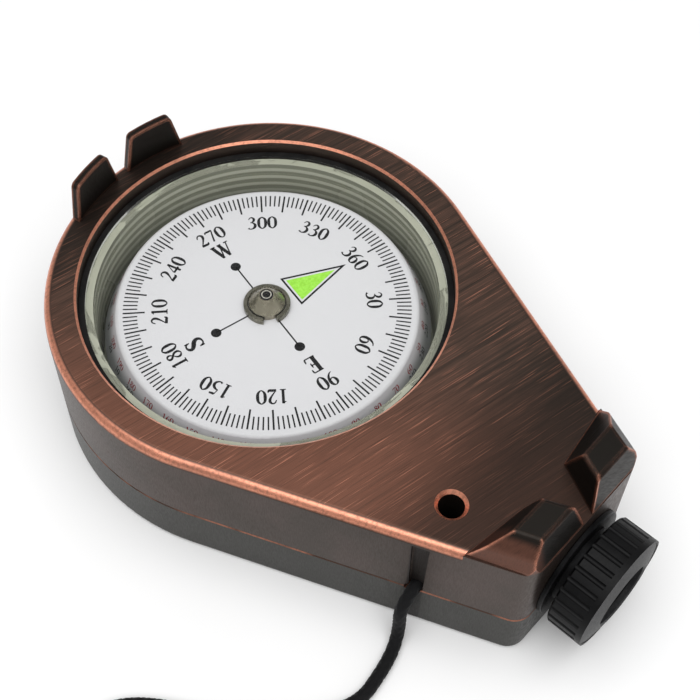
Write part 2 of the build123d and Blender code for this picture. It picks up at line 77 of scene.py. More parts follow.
def addPiece(name, verts, faces, body, smooth=False):
    mesh = bpy.data.meshes.new(name)
    mesh.from_pydata([tuple(v) for v in verts], [], faces)
    mesh.update()
    if smooth:
        mesh.shade_smooth()
    piece = bpy.data.objects.new(name, mesh)
    scene.collection.objects.link(piece)
    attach(piece, body)
    return piece


# lanyard: a braided neck cord, put away in a coil behind the case
cordSet = {
    "radius": 0.95 * mm,
    "floor": 0.97 * mm,
    "seam": 9.7 * mm,
    "coilMiddle": (-63.7 * mm, -45.8 * mm),
    "coilRadius": 11.0 * mm,
    "pitch": 1.9 * mm,          # turns beside each other and layers on each other
    "turnsInLayer": 4,
    "layers": 3,
    "pointsInTurn": 16,
    "windFrom": 150,            # degrees, where the coil starts
    "tail": {"radius": 5.0 * mm, "rise": 0.5 * mm, "points": 8, "inward": 1.4, "stride": 1.3},
    "strands": 5,
    "lay": 1.5 * mm,            # one strand crossing to the next
    "relief": 0.2,
    "step": 0.28 * mm,
    "around": 20,
    "thin": 8,
}


def cordRoute(look):
    floor, seam = look["floor"], look["seam"]
    route = [
        (-11.8 * mm, -43.75 * mm, seam),
        (-20.0 * mm, -44.0 * mm, seam),
        (-20.6 * mm, -44.8 * mm, floor),
        (-25.2 * mm, -46.6 * mm, floor),
        (-34.0 * mm, -47.6 * mm, floor),
        (-45.0 * mm, -37.0 * mm, floor),
        (-56.5 * mm, -19.0 * mm, floor),
        (-71.0 * mm, -26.5 * mm, floor),
    ]
    cx, cy = look["coilMiddle"]
    pitch, turns, count = look["pitch"], look["turnsInLayer"], look["pointsInTurn"]
    outer = look["coilRadius"] + pitch * (turns - 1) / 2
    inner = look["coilRadius"] - pitch * (turns - 1) / 2
    steps = (turns - 1) * count
    angle = math.radians(look["windFrom"])
    for layer in range(look["layers"]):
        start, end = (outer, inner) if layer % 2 == 0 else (inner, outer)
        for k in range(steps + count // 2):
            share = min(1.0, k / steps)
            radius = start + (end - start) * share
            climb = max(0.0, (k - steps) / (count // 2)) if layer < look["layers"] - 1 else 0.0
            z = floor + pitch * (layer + climb)
            route.append((cx + radius * math.cos(angle), cy + radius * math.sin(angle), z))
            angle += 2 * math.pi / count
    high = floor + pitch * (look["layers"] - 1)
    tail = look["tail"]
    for k in range(1, tail["points"] + 1):
        share = k / tail["points"]
        radius = inner + (tail["radius"] - inner) * min(1.0, share * tail["inward"])
        z = high + (floor + tail["rise"] - high) * share
        route.append((cx + radius * math.cos(angle), cy + radius * math.sin(angle), z))
        angle += 2 * math.pi / count * tail["stride"]
    return route


def splinePoints(route):
    curve = bpy.data.curves.new("cordLine", "CURVE")
    curve.dimensions = "3D"
    curve.resolution_u = 40
    spline = curve.splines.new("NURBS")
    spline.points.add(len(route) - 1)
    for point, place in zip(spline.points, route):
        point.co = (*place, 1.0)
    spline.order_u = 3
    spline.use_endpoint_u = True
    holder = bpy.data.objects.new("cordLine", curve)
    mesh = bpy.data.meshes.new_from_object(holder)
    points = [v.co.copy() for v in mesh.vertices]
    bpy.data.meshes.remove(mesh)
    bpy.data.objects.remove(holder)
    bpy.data.curves.remove(curve)
    return points


def evenSteps(points, step):
    placed = [points[0].copy()]
    left = step
    for a, b in zip(points, points[1:]):
        run = (b - a).length
        gone = 0.0
        while run - gone >= left:
            gone += left
            placed.append(a.lerp(b, gone / run))
            left = step
        left -= run - gone
    placed.append(points[-1].copy())
    return placed


def braidSkin(path, look):
    side = Vector((0, 0, 1))
    around, radius, strands = look["around"], look["radius"], look["strands"]
    verts, faces = [], []
    gone = 0.0
    for i, place in enumerate(path):
        ahead = (path[min(i + 1, len(path) - 1)] - path[max(i - 1, 0)]).normalized()
        side = (side - ahead * side.dot(ahead)).normalized()
        across = ahead.cross(side)
        if i:
            gone += (place - path[i - 1]).length
        twist = 2 * math.pi * gone / (look["lay"] * strands)
        for k in range(around):
            a = 2 * math.pi * k / around
            left = math.cos(strands * (a + twist))
            right = math.cos(strands * (a - twist))
            bump = max(left, right) * 0.5 - 0.3
            r = radius * (1 + look["relief"] * bump)
            verts.append(place + (side * math.cos(a) + across * math.sin(a)) * r)
    for i in range(len(path) - 1):
        for k in range(around):
            n = (k + 1) % around
            faces.append((i * around + k, i * around + n, (i + 1) * around + n, (i + 1) * around + k))
    faces.append(tuple(range(around)))
    last = (len(path) - 1) * around
    faces.append(tuple(last + k for k in reversed(range(around))))
    return verts, faces


def makeCord(look):
    line = splinePoints(cordRoute(look))
    path = evenSteps(line, look["step"])
    cord = addPiece("neckCord", *braidSkin(path, look), "case", smooth=True)
    length = sum((b - a).length for a, b in zip(line, line[1:]))
    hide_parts("lanyard_cord", "lanyard_coil")
    thinned = line[::look["thin"]] + [line[-1]]
    tuple(path[0])
    [tuple(p) for p in thinned]
    print("cord made,", round(length, 3), "m")


makeCord(cordSet)


# node helpers for the finishes
class Finish:
    def __init__(self, name):
        self.material = bpy.data.materials.new(name)
        self.material.use_nodes = True
        self.tree = self.material.node_tree
        self.shader = self.tree.nodes["Principled BSDF"]
        self.coords = self.node("ShaderNodeTexCoord").outputs["Object"]

    def node(self, kind, **settings):
        made = self.tree.nodes.new(kind)
        for key, value in settings.items():
            setattr(made, key, value)
        return made

    def plug(self, value, socket):
        if isinstance(value, bpy.types.NodeSocket):
            self.tree.links.new(value, socket)
        else:
            socket.default_value = value

    def set(self, **values):
        for key, value in values.items():
            self.plug(value, self.shader.inputs[key.replace("_", " ")])

    def stretch(self, size, turn=0.0):
        mapping = self.node("ShaderNodeMapping", vector_type="TEXTURE")
        mapping.inputs["Rotation"].default_value = (0, 0, math.radians(turn))
        mapping.inputs["Scale"].default_value = size
        self.plug(self.coords, mapping.inputs["Vector"])
        return mapping.outputs["Vector"]

    def noise(self, vector, detail=3.0, rough=0.55):
        made = self.node("ShaderNodeTexNoise")
        self.plug(vector, made.inputs["Vector"])
        made.inputs["Scale"].default_value = 1.0
        made.inputs["Detail"].default_value = detail
        made.inputs["Roughness"].default_value = rough
        return made.outputs["Fac"]

    def span(self, value, low, high, toLow=0.0, toHigh=1.0):
        made = self.node("ShaderNodeMapRange")
        made.interpolation_type = "SMOOTHSTEP"
        for socket, number in zip(("From Min", "From Max", "To Min", "To Max"), (low, high, toLow, toHigh)):
            made.inputs[socket].default_value = number
        self.plug(value, made.inputs["Value"])
        return made.outputs["Result"]

    def sum(self, kind, a, b=0.0):
        made = self.node("ShaderNodeMath", operation=kind)
        self.plug(a, made.inputs[0])
        self.plug(b, made.inputs[1])
        return made.outputs[0]

    def mix(self, share, a, b):
        made = self.node("ShaderNodeMix", data_type="RGBA")
        self.plug(share, made.inputs["Factor"])
        self.plug(colour(a), made.inputs[6])
        self.plug(colour(b), made.inputs[7])
        return made.outputs[2]

    def between(self, share, a, b):
        made = self.node("ShaderNodeMix", data_type="FLOAT")
        for index, value in zip((0, 2, 3), (share, a, b)):
            self.plug(value, made.inputs[index])
        return made.outputs[0]

    def parts(self, vector):
        made = self.node("ShaderNodeSeparateXYZ")
        self.plug(vector, made.inputs[0])
        return made.outputs

    def normal(self):
        return self.node("ShaderNodeNewGeometry").outputs["Normal"]

    def bump(self, height, strength, distance):
        made = self.node("ShaderNodeBump")
        made.inputs["Strength"].default_value = strength
        made.inputs["Distance"].default_value = distance
        self.plug(height, made.inputs["Height"])
        self.plug(made.outputs["Normal"], self.shader.inputs["Normal"])


def colour(value):
    if isinstance(value, tuple) and len(value) == 3:
        return (*[(c / 255 / 12.92) if c <= 10 else ((c / 255 + 0.055) / 1.055) ** 2.4 for c in value], 1.0)
    return value


def coat(material, *names):
    for name in names:
        piece = nodes[name] if name in nodes else bpy.data.objects[name]
        piece.data.materials.clear()
        piece.data.materials.append(material)


# antiqued copper of the case, colours as 0 to 255
caseCopper = {
    "oxide": (64, 55, 49),
    "stroke": (114, 86, 74),
    "edge": (226, 152, 124),
    "wall": (74, 62, 57),
    "sight": (36, 33, 30),
    "warm": (134, 89, 72),      # where the thumb rubs the near side
    "brow": (104, 70, 58),      # outer faces of the near rear sight
    # painted shade inside the lanyard groove above the cord's exit
    "grooveShadeTone": (18, 14, 12),
    "strokeTurn": -12.0,
    "hair": (16 * mm, 0.09 * mm, 1.0 * mm),
    "band": (70 * mm, 0.55 * mm, 4 * mm),
    "scratch": (9 * mm, 0.14 * mm, 2 * mm),
    "patch": 9 * mm,
    "speckle": 0.5 * mm,
    "top": 24.0 * mm,
    "rubbed": (-6 * mm, -34 * mm),          # across the case, from untouched to fully rubbed
    "rubbedSlant": 0.55,
    "darkFrom": -31.0 * mm,     # the tail stays dark, out of the hand's reach
    "darkTo": -47.0 * mm,
    "frontDark": (18.0 * mm, 29.0 * mm),
    "sightFrom": (0.05 * mm, 0.5 * mm),     # above the top
    "browAcross": (-8.8 * mm, -10.6 * mm),
    "browAlong": (-30 * mm, -40 * mm),
    "browHeight": (5.3 * mm, 4.2 * mm),     # above the top
    "cornerWear": 0.8 * mm,
    "seam": (9.7 * mm, 0.6 * mm, 0.6),      # height, reach and how much edge shine stays
    "seamBreaks": 7 * mm,
    "groove": (-44.2 * mm, 1.2 * mm, -15.5 * mm),       # middle, half width, start across
    "grooveSoft": (0.25 * mm, 0.3 * mm),    # fade at its sides and at its start
    "grooveTop": (-2.2 * mm, -1.2 * mm),    # from the top
}


def wornTop(f, look, place, hair, patch):
    band = f.noise(f.stretch(look["band"], look["strokeTurn"]), detail=3, rough=0.6)
    streak = f.sum("ADD", f.sum("MULTIPLY", hair, 0.5), f.sum("MULTIPLY", band, 0.5))
    streak = f.sum("MULTIPLY", f.span(streak, 0.36, 0.68), f.span(patch, 0.25, 0.7, 0.45, 1.0))
    rubbed = f.sum("ADD", place[0], f.sum("MULTIPLY", place[1], look["rubbedSlant"]))
    rubbed = f.sum("MULTIPLY", f.span(rubbed, *look["rubbed"]), f.span(hair, 0.35, 0.6, 0.4, 0.85))
    worn = f.mix(rubbed, f.mix(streak, look["oxide"], look["stroke"]), look["warm"])
    scratch = f.noise(f.stretch(look["scratch"], look["strokeTurn"]), detail=2, rough=0.5)
    worn = f.mix(f.span(scratch, 0.60, 0.72, 0.0, 0.55), worn, look["edge"])
    worn = f.mix(f.span(scratch, 0.40, 0.30, 0.0, 0.45), worn, look["sight"])
    tail = f.span(place[1], look["darkFrom"], look["darkTo"], 0.0, 0.8)
    front = f.span(place[1], *look["frontDark"], 0.0, 0.7)
    return f.mix(f.sum("MAXIMUM", tail, front), worn, look["sight"])


def sightShade(f, look, place, hair):
    high, low = (look["top"] + rise for rise in look["browHeight"])
    outer = f.sum("MULTIPLY", f.span(place[0], *look["browAcross"]), f.span(place[1], *look["browAlong"]))
    outer = f.sum("MULTIPLY", outer, f.span(place[2], high, low))
    return f.mix(f.sum("MULTIPLY", outer, f.span(hair, 0.3, 0.6, 0.6, 1.0)), look["sight"], look["brow"])


# painted shade: darkens the recess of the lanyard groove in the side wall
def grooveShade(f, look, place):
    middle, half, start = look["groove"]
    sideSoft, startSoft = look["grooveSoft"]
    foot, head = (look["top"] + drop for drop in look["grooveTop"])
    along = f.sum("ABSOLUTE", f.sum("SUBTRACT", place[1], middle))
    shade = f.span(along, half - sideSoft, half, 1.0, 0.0)
    shade = f.sum("MULTIPLY", shade, f.span(place[0], start + startSoft, start))
    shade = f.sum("MULTIPLY", shade, f.span(place[2], foot, head, 1.0, 0.0))
    return f.sum("MULTIPLY", shade, 0.75)


# rounded edges are worn bright, less so along the seam
def edgeShine(f, look, place, facing, patch, above):
    rounding = f.sum("MULTIPLY", f.span(facing, 0.10, 0.45), f.span(facing, 0.90, 0.992, 1.0, 0.0))
    bevel = f.node("ShaderNodeBevel", samples=4)
    bevel.inputs["Radius"].default_value = look["cornerWear"]
    meet = f.node("ShaderNodeVectorMath", operation="DOT_PRODUCT")
    f.plug(bevel.outputs["Normal"], meet.inputs[0])
    f.plug(f.normal(), meet.inputs[1])
    cornered = f.span(meet.outputs["Value"], 0.80, 0.985, 1.0, 0.0)
    speckle = f.noise(f.stretch((look["speckle"],) * 3), detail=3, rough=0.7)
    edge = f.between(above, rounding, cornered)
    edge = f.sum("MULTIPLY", edge, f.span(speckle, 0.25, 0.6, 0.55, 1.0))
    edge = f.sum("MULTIPLY", edge, f.span(patch, 0.2, 0.6, 0.7, 1.0))
    height, reach, shine = look["seam"]
    nearSeam = f.sum("COMPARE", place[2], height)
    nearSeam.node.inputs[2].default_value = reach
    broken = f.span(f.noise(f.stretch((look["seamBreaks"],) * 3), detail=2), 0.42, 0.62, 0.15, 1.0)
    return f.sum("MULTIPLY", edge, f.between(nearSeam, 1.0, f.sum("MULTIPLY", broken, shine)))


def copperFinish(name, look):
    f = Finish(name)
    place = f.parts(f.coords)
    facing = f.parts(f.normal())[2]
    hair = f.noise(f.stretch(look["hair"], look["strokeTurn"]), detail=4, rough=0.7)
    patch = f.noise(f.stretch((look["patch"],) * 3), detail=2)
    flat = f.span(facing, 0.975, 0.999)
    above = f.span(place[2], *(look["top"] + rise for rise in look["sightFrom"]))
    side = f.mix(f.span(patch, 0.3, 0.7), look["wall"], look["oxide"])
    body = f.mix(flat, side, wornTop(f, look, place, hair, patch))
    body = f.mix(above, body, sightShade(f, look, place, hair))
    body = f.mix(grooveShade(f, look, place), body, look["grooveShadeTone"])
    edge = edgeShine(f, look, place, facing, patch, above)
    f.set(Base_Color=f.mix(edge, body, look["edge"]), Metallic=0.9)
    f.set(Roughness=f.sum("ADD", f.span(hair, 0.3, 0.7, 0.34, 0.5), f.sum("MULTIPLY", edge, -0.08)))
    f.bump(f.sum("MULTIPLY", hair, flat), 0.35, 0.03 * mm)
    return f.material


baseCopper = {**caseCopper, "wall": (60, 59, 56), "oxide": (55, 54, 51)}
coat(copperFinish("antiqueCopperTop", caseCopper), "top_shell")
coat(copperFinish("antiqueCopperBase", baseCopper), "bottom_shell")
print("case finished")


# plain finishes: two tones, size of their grain, roughness from and to, metal, bump depth
plainFinishes = {
    "blackRubber": ((16, 16, 17), (34, 33, 32), 0.6, (0.55, 0.75), 0.0, 0.02),
    "blackPlastic": ((5, 5, 6), (12, 12, 13), 0.35, (0.36, 0.5), 0.0, 0.012),
    "satinGrey": ((34, 34, 35), (46, 46, 47), 0.25, (0.36, 0.48), 0.0, 0.02),
    "blackAnodised": ((14, 14, 15), (28, 28, 29), 0.3, (0.35, 0.5), 0.6, 0.006),
    "blackenedSteel": ((38, 36, 34), (70, 66, 62), 0.5, (0.3, 0.5), 1.0, 0.01),
    "hubBrass": ((138, 132, 116), (168, 161, 142), 1.2, (0.2, 0.3), 1.0, 0.003),
    "clipNickel": ((106, 104, 92), (134, 131, 118), 1.0, (0.22, 0.32), 1.0, 0.003),
    "pivotSteel": ((150, 150, 152), (196, 196, 198), 0.4, (0.15, 0.3), 1.0, 0.003),
    "magnetIron": ((60, 60, 64), (92, 92, 96), 0.5, (0.4, 0.6), 1.0, 0.01),
    "jewelGlass": ((70, 18, 26), (110, 30, 44), 0.3, (0.06, 0.14), 0.0, 0.001),
}
wornBy = {
    "blackRubber": ["case_seal", "window_gasket", "capsule_cushion", "expansion_diaphragm", "nose_seal"],
    "blackPlastic": ["eyepiece_knob", "lubber_line", "light_mask"],
    "satinGrey": ["knob_face"],
    "blackAnodised": ["lens_tube", "tube_nut", "lens_barrel", "lens_retainer"],
    "blackenedSteel": ["case_screws"],
    "hubBrass": ["jewel_cup", "hub_nut", "fill_plug", "pivot_base"],
    "clipNickel": ["balance_clip"],
    "pivotSteel": ["pivot_pin", "guide_key"],
    "magnetIron": ["card_magnet"],
    "jewelGlass": ["jewel"],
}


def plainFinish(name, look):
    dark, light, grain, rough, metal, depth = look
    f = Finish(name)
    cloud = f.noise(f.stretch((grain * mm * 6,) * 3), detail=3)
    fine = f.noise(f.stretch((grain * mm,) * 3), detail=4, rough=0.6)
    blend = f.sum("ADD", f.sum("MULTIPLY", cloud, 0.6), f.sum("MULTIPLY", fine, 0.4))
    f.set(Base_Color=f.mix(f.span(blend, 0.35, 0.65), dark, light), Metallic=metal, Specular_IOR_Level=0.14)
    f.set(Roughness=f.span(fine, 0.3, 0.7, *rough))
    f.bump(fine, 0.4, depth * mm)
    return f.material


for finishName, finishLook in plainFinishes.items():
    coat(plainFinish(finishName, finishLook), *wornBy[finishName])


def glassFinish(name, tint, shine):
    f = Finish(name)
    haze = f.noise(f.stretch((6 * mm,) * 3), detail=2)
    f.set(Base_Color=f.mix(haze, tint, (255, 255, 255)), Roughness=f.span(haze, 0.3, 0.7, 0.02, 0.05))
    clear = f.node("ShaderNodeBsdfTransparent")
    film = f.node("ShaderNodeFresnel")
    film.inputs["IOR"].default_value = shine
    blend = f.node("ShaderNodeMixShader")
    f.plug(film.outputs[0], blend.inputs[0])
    f.plug(clear.outputs[0], blend.inputs[1])
    f.plug(f.shader.outputs[0], blend.inputs[2])
    f.plug(blend.outputs[0], f.tree.nodes["Material Output"].inputs["Surface"])
    return f.material


coat(glassFinish("clearCrystal", (244, 248, 244), 1.14), "crystal")
coat(glassFinish("lensGlass", (210, 225, 240), 1.5), "field_lens", "eye_lens")

# moulded capsule: pale olive, with painted shading in bands along the fine steps of its wall
capsuleLook = {
    "pale": (184, 186, 168),
    "deep": (128, 131, 113),
    "step": 1.6 * mm,
    "shade": (14.0 * mm, 17.5 * mm),        # painted shade, darker towards the floor of the cup
}


def capsuleFinish(look):
    f = Finish("oliveCapsule")
    place = f.parts(f.coords)
    cloud = f.noise(f.stretch((14 * mm,) * 3), detail=2)
    steps = f.sum("SINE", f.sum("MULTIPLY", place[2], 2 * math.pi / look["step"]))
    steps = f.sum("ADD", f.span(steps, -0.6, 0.9), f.sum("MULTIPLY", cloud, 0.5))
    # painted shading: the wall's steps band the colour pale and deep, and painted shade darkens it towards
    # the floor
    tone = f.mix(f.span(steps, 0.2, 1.3), look["deep"], look["pale"])
    tone = f.mix(f.span(place[2], *look["shade"], 0.45, 0.0), tone, look["deep"])
    f.set(Base_Color=tone, Roughness=f.span(cloud, 0.3, 0.7, 0.2, 0.32))
    f.bump(steps, 0.3, 0.05 * mm)
    return f.material


coat(capsuleFinish(capsuleLook), "capsule_cup", "capsule_ring")

clothLook = {"dark": (4, 4, 5), "light": (22, 22, 24), "grain": 0.12}


def cordFinish(look):
    f = Finish("braidedCord")
    fuzz = f.noise(f.stretch((look["grain"] * mm,) * 3), detail=4, rough=0.7)
    f.set(Base_Color=f.mix(f.span(fuzz, 0.35, 0.7), look["dark"], look["light"]),
          Roughness=f.span(fuzz, 0.3, 0.7, 0.7, 0.9), Sheen_Weight=0.08, Specular_IOR_Level=0.2)
    f.bump(fuzz, 0.5, 0.03 * mm)
    return f.material


coat(cordFinish(clothLook), "neckCord", "lanyard_knot", "lanyard_tie", "lanyard_end")

# white card: pale shoulder, and a skirt greyed by painted shade
cardLook = {
    "white": (210, 210, 212),
    "shoulder": (206, 203, 208),
    "skirt": (136, 138, 140),
    "mottle": (200, 200, 205),
    "skirtFade": (14.4 * mm, 17.2 * mm),
    "faceFade": (17.35 * mm, 17.74 * mm),
}


def cardFinish(look):
    f = Finish("dialWhite")
    height = f.parts(f.coords)[2]
    fine = f.noise(f.stretch((0.3 * mm,) * 3), detail=3)
    # painted shade: the skirt under the face is coloured grey
    low = f.mix(f.span(height, *look["skirtFade"]), look["skirt"], look["shoulder"])
    tone = f.mix(f.span(height, *look["faceFade"]), low, look["white"])
    tone = f.mix(f.span(fine, 0.3, 0.7, 0.0, 0.05), tone, look["mottle"])
    f.set(Base_Color=tone, Roughness=f.span(fine, 0.3, 0.7, 0.4, 0.5))
    f.bump(fine, 0.15, 0.004 * mm)
    return f.material


coat(cardFinish(cardLook), "dial_card")
print("plain finishes done")


# printing on the dial card
dialSet = {
    "north": 346.118,           # direction of 360 on the dial, degrees from +X
    "face": 17.75 * mm,
    "lift": 0.015 * mm,
    "tickOuter": 21.96 * mm,
    "longInner": 18.6 * mm,
    "shortInner": 19.75 * mm,
    "longWide": 0.28 * mm,
    "shortWide": 0.23 * mm,
    "numberRadius": 16.4 * mm,
    "numberHeight": 2.5 * mm,
    "numberAdvance": 0.64,
    "letterRadius": 12.85 * mm,
    "letterHeight": 2.9 * mm,
    "letterAdvance": {"E": 0.68, "S": 0.68, "W": 0.94},
    "letterWeight": 1.5,
    "numberWeight": 1.5,
    "dotRadius": 0.8 * mm,
    "dotPlace": 9.05 * mm,
    "dotSides": 40,
    "lineWide": 0.24 * mm,
    "lineInner": 3.3 * mm,
    "arrow": ((4.45, 3.25), (4.5, -2.75), (14.5, -0.1)),  # along north and to its left, mm
    "arrowLine": 0.31 * mm,
    "arrowFill": 1.9,           # the green starts this many line widths in
    "skirtTop": (23.2 * mm, 17.4 * mm),
    "skirtFoot": (25.2 * mm, 13.2 * mm),
    "redShare": 0.16,
    "blackShare": 0.46,
    "skirtHeight": 1.15 * mm,
    "skirtAdvance": 0.62,
    "skirtWeight": 1.3,
}

# strokes of the numerals on a cell one high: points (x, y, width)
numerals = {
    "0": [[(0.30, 0.97, 0.05), (0.12, 0.80, 0.10), (0.08, 0.50, 0.13), (0.12, 0.20, 0.10), (0.30, 0.03, 0.05),
           (0.48, 0.20, 0.10), (0.52, 0.50, 0.13), (0.48, 0.80, 0.10), (0.30, 0.97, 0.05)]],
    "1": [[(0.31, 0.98, 0.11), (0.31, 0.50, 0.11), (0.31, 0.03, 0.11)],
          [(0.14, 0.84, 0.03), (0.22, 0.88, 0.05), (0.31, 0.97, 0.04)],
          [(0.13, 0.02, 0.04), (0.31, 0.03, 0.05), (0.49, 0.02, 0.04)]],
    "2": [[(0.07, 0.72, 0.04), (0.15, 0.90, 0.06), (0.30, 0.96, 0.07), (0.44, 0.84, 0.11), (0.44, 0.66, 0.11),
           (0.32, 0.42, 0.07), (0.08, 0.07, 0.04)],
          [(0.06, 0.06, 0.11), (0.30, 0.06, 0.12), (0.48, 0.06, 0.11), (0.55, 0.20, 0.03)]],
    "3": [[(0.08, 0.78, 0.03), (0.16, 0.92, 0.05), (0.29, 0.96, 0.07), (0.41, 0.85, 0.10), (0.40, 0.69, 0.10),
           (0.28, 0.57, 0.05), (0.18, 0.54, 0.04)],
          [(0.22, 0.55, 0.04), (0.38, 0.50, 0.07), (0.49, 0.34, 0.12), (0.44, 0.14, 0.11), (0.28, 0.03, 0.06),
           (0.14, 0.04, 0.06), (0.06, 0.10, 0.09)]],
    "4": [[(0.40, 0.98, 0.10), (0.40, 0.50, 0.10), (0.40, 0.02, 0.10)],
          [(0.39, 0.96, 0.04), (0.22, 0.64, 0.04), (0.05, 0.32, 0.04)],
          [(0.04, 0.29, 0.09), (0.30, 0.29, 0.09), (0.56, 0.29, 0.09)]],
    "5": [[(0.18, 0.93, 0.10), (0.34, 0.93, 0.10), (0.50, 0.95, 0.08)],
          [(0.19, 0.94, 0.04), (0.15, 0.78, 0.04), (0.11, 0.60, 0.05)],
          [(0.11, 0.60, 0.05), (0.28, 0.57, 0.09), (0.44, 0.42, 0.12), (0.46, 0.22, 0.11), (0.32, 0.06, 0.07),
           (0.17, 0.03, 0.06), (0.07, 0.09, 0.09)]],
    "6": [[(0.50, 0.96, 0.03), (0.32, 0.88, 0.06), (0.16, 0.66, 0.10), (0.10, 0.36, 0.13), (0.16, 0.12, 0.10),
           (0.31, 0.03, 0.05), (0.46, 0.14, 0.10), (0.49, 0.32, 0.12), (0.42, 0.50, 0.08), (0.30, 0.56, 0.05),
           (0.16, 0.46, 0.04)]],
    "7": [[(0.06, 0.80, 0.03), (0.10, 0.92, 0.08), (0.30, 0.92, 0.10), (0.54, 0.93, 0.08)],
          [(0.53, 0.93, 0.05), (0.40, 0.50, 0.07), (0.27, 0.02, 0.08)]],
    "8": [[(0.30, 0.97, 0.05), (0.16, 0.86, 0.10), (0.18, 0.70, 0.10), (0.34, 0.55, 0.09), (0.48, 0.38, 0.10),
           (0.48, 0.16, 0.10), (0.30, 0.03, 0.05), (0.12, 0.16, 0.10), (0.13, 0.36, 0.08), (0.30, 0.53, 0.04),
           (0.43, 0.70, 0.07), (0.44, 0.86, 0.09), (0.30, 0.97, 0.05)]],
    "W": [[(0.06, 0.97, 0.13), (0.18, 0.50, 0.13), (0.30, 0.03, 0.10)],
          [(0.30, 0.03, 0.05), (0.40, 0.50, 0.05), (0.50, 0.95, 0.05)],
          [(0.44, 0.97, 0.13), (0.56, 0.50, 0.13), (0.68, 0.03, 0.10)],
          [(0.68, 0.03, 0.05), (0.78, 0.50, 0.05), (0.88, 0.95, 0.05)],
          [(-0.06, 0.97, 0.05), (0.08, 0.97, 0.05), (0.22, 0.97, 0.05)],
          [(0.34, 0.97, 0.05), (0.46, 0.97, 0.05), (0.58, 0.97, 0.05)],
          [(0.76, 0.97, 0.05), (0.88, 0.97, 0.05), (1.00, 0.97, 0.05)]],
    "S": [[(0.56, 0.74, 0.05), (0.50, 0.90, 0.06), (0.34, 0.96, 0.07), (0.18, 0.88, 0.11), (0.15, 0.72, 0.13),
           (0.30, 0.57, 0.16), (0.48, 0.45, 0.16), (0.58, 0.27, 0.13), (0.52, 0.10, 0.10), (0.34, 0.03, 0.06),
           (0.18, 0.08, 0.06), (0.10, 0.28, 0.04)],
          [(0.56, 0.98, 0.05), (0.56, 0.84, 0.05), (0.56, 0.70, 0.04)],
          [(0.10, 0.02, 0.05), (0.10, 0.16, 0.05), (0.10, 0.30, 0.04)]],
    "E": [[(0.20, 0.97, 0.15), (0.20, 0.50, 0.15), (0.20, 0.03, 0.15)],
          [(0.06, 0.97, 0.05), (0.32, 0.97, 0.05), (0.60, 0.97, 0.05)],
          [(0.06, 0.03, 0.05), (0.32, 0.03, 0.05), (0.64, 0.03, 0.05)],
          [(0.26, 0.51, 0.05), (0.36, 0.51, 0.05), (0.46, 0.51, 0.05)],
          [(0.60, 0.97, 0.05), (0.61, 0.86, 0.06), (0.62, 0.74, 0.03)],
          [(0.64, 0.03, 0.05), (0.65, 0.15, 0.06), (0.67, 0.28, 0.03)],
          [(0.47, 0.66, 0.03), (0.47, 0.51, 0.06), (0.47, 0.36, 0.03)]],
}
numerals["9"] = [[(0.60 - x, 1 - y, w) for x, y, w in stroke] for stroke in numerals["6"]]


def smoothLine(points, fine=5):
    ends = [points[0]] + points + [points[-1]]
    line = []
    for a, b, c, d in zip(ends, ends[1:], ends[2:], ends[3:]):
        for k in range(fine):
            t = k / fine
            line.append(tuple(
                0.5 * (2 * q + (r - p) * t + (2 * p - 5 * q + 4 * r - s) * t * t
                       + (3 * q - p - 3 * r + s) * t ** 3)
                for p, q, r, s in zip(a, b, c, d)))
    line.append(points[-1])
    return line


class Print:
    def __init__(self, name):
        self.name = name
        self.verts = []
        self.faces = []

    def polygon(self, points):
        start = len(self.verts)
        self.verts.extend(points)
        self.faces.append(tuple(range(start, start + len(points))))

    def stroke(self, points, place, weight=1.0):
        line = smoothLine([(x, y, w * weight) for x, y, w in points])
        start = len(self.verts)
        for i, (x, y, w) in enumerate(line):
            ax, ay = line[max(i - 1, 0)][:2]
            bx, by = line[min(i + 1, len(line) - 1)][:2]
            run = math.hypot(bx - ax, by - ay) or 1.0
            nx, ny = -(by - ay) / run * w / 2, (bx - ax) / run * w / 2
            self.verts.append(place(x + nx, y + ny))
            self.verts.append(place(x - nx, y - ny))
        for i in range(len(line) - 1):
            a = start + 2 * i
            self.faces.append((a, a + 1, a + 3, a + 2))

    def word(self, text, advance, place, weight=1.0):
        width = advance * len(text)
        for n, letter in enumerate(text):
            shift = -width / 2 + advance * n
            for points in numerals[letter]:
                self.stroke(points, lambda x, y, shift=shift: place(x + shift, y - 0.5), weight)

    def make(self):
        return addPiece(self.name, self.verts, self.faces, "dial")


def onFace(azimuth, radius, height, look=dialSet):
    angle = math.radians(look["north"] - azimuth)
    out = Vector((math.cos(angle), math.sin(angle), 0))
    right = Vector((math.sin(angle), -math.cos(angle), 0))
    up = Vector((0, 0, look["face"] + look["lift"]))
    return lambda x, y: up + out * (radius + y * height) + right * (x * height)


def onSkirt(azimuth, share, height, look=dialSet):
    (r0, z0), (r1, z1) = look["skirtTop"], look["skirtFoot"]
    slope = math.hypot(r1 - r0, z1 - z0)

    def place(x, y):
        s = share + (0.5 - y) * height / slope
        r = r0 + (r1 - r0) * s + look["lift"]
        z = z0 + (z1 - z0) * s
        angle = math.radians(look["north"] - azimuth) + x * height / r
        return Vector((r * math.cos(angle), r * math.sin(angle), z))
    return place


def printTicks(look):
    ticks = Print("dialTicks")
    for degree in range(0, 360, 2):
        kind = "long" if degree % 10 == 0 else "short"
        inner, outer, half = look[kind + "Inner"], look["tickOuter"], look[kind + "Wide"] / 2
        spot = onFace(degree, 0, 1.0)
        ticks.polygon([spot(-half, inner), spot(half, inner), spot(half, outer), spot(-half, outer)])
    return ticks


def printNumbers(look):
    numbers = Print("dialNumbers")
    for degree in range(30, 361, 30):
        spot = onFace(degree, look["numberRadius"], look["numberHeight"])
        numbers.word(str(degree), look["numberAdvance"], spot, look["numberWeight"])
    return numbers


